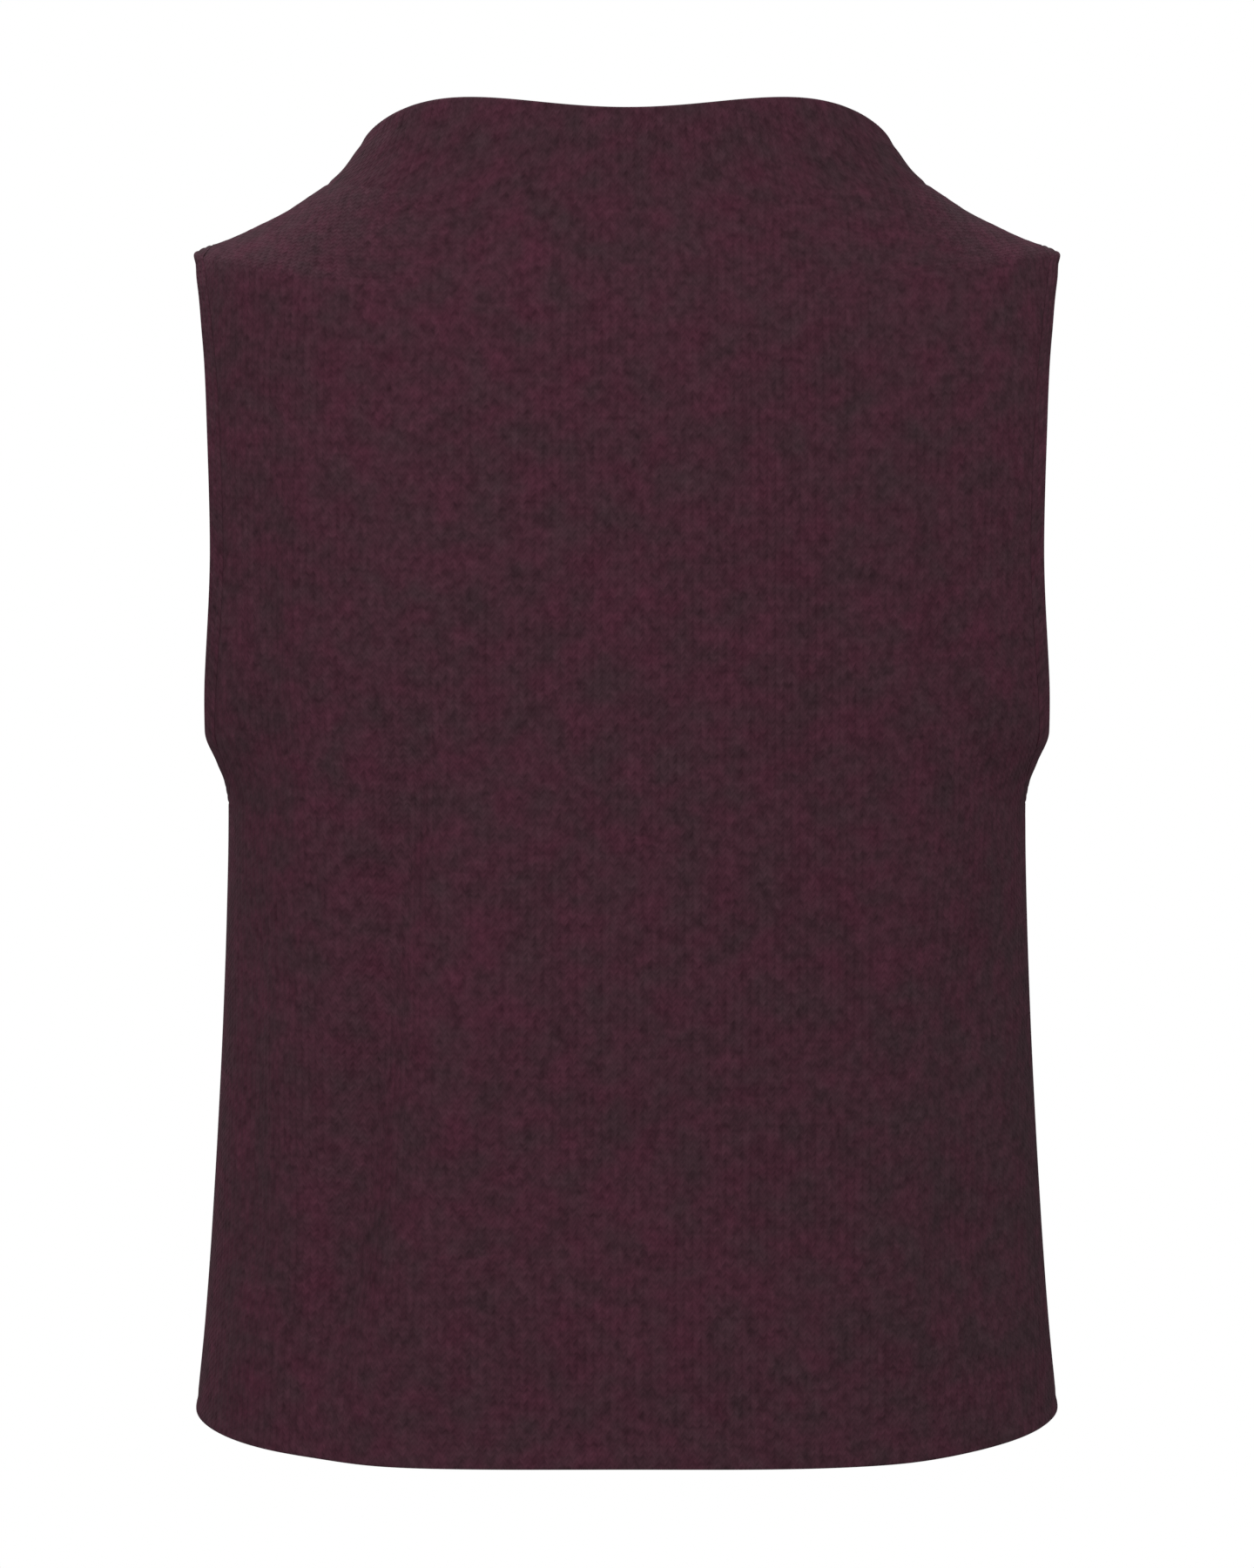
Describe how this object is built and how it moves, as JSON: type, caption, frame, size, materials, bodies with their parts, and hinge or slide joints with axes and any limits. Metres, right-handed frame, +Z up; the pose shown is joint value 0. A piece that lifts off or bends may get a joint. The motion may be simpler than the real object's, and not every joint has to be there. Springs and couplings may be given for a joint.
{
  "type": "knitted sweater vest filled out as if worn",
  "caption": "Sleeveless knitted top with a funnel neck, straight shoulders, banded armholes and a slightly flared hem, filled out as if worn, hollow and open at neck, hem and armholes.",
  "frame": {"origin": "between the shoulders, level with the base of the neck, where the wearer's shoulders carry the garment", "axes": "+Z up along the body, +Y towards the garment's front, -Y its back, +X towards the right of a viewer who looks at the back"},
  "size_m": [0.3784, 0.251, 0.5798],
  "materials": {
    "body_knit": "matte melange wool knit with fine vertical wales",
    "collar_knit": "matte melange wool knit, soft funnel collar",
    "band_knit": "matte melange wool knit, narrow linked edging"
  },
  "bodies": {
    "root": {"back_panel": "body_knit", "front_panel": "body_knit", "collar": "collar_knit", "armhole_band_right": "band_knit", "armhole_band_left": "band_knit"}
  },
  "joints": []
}
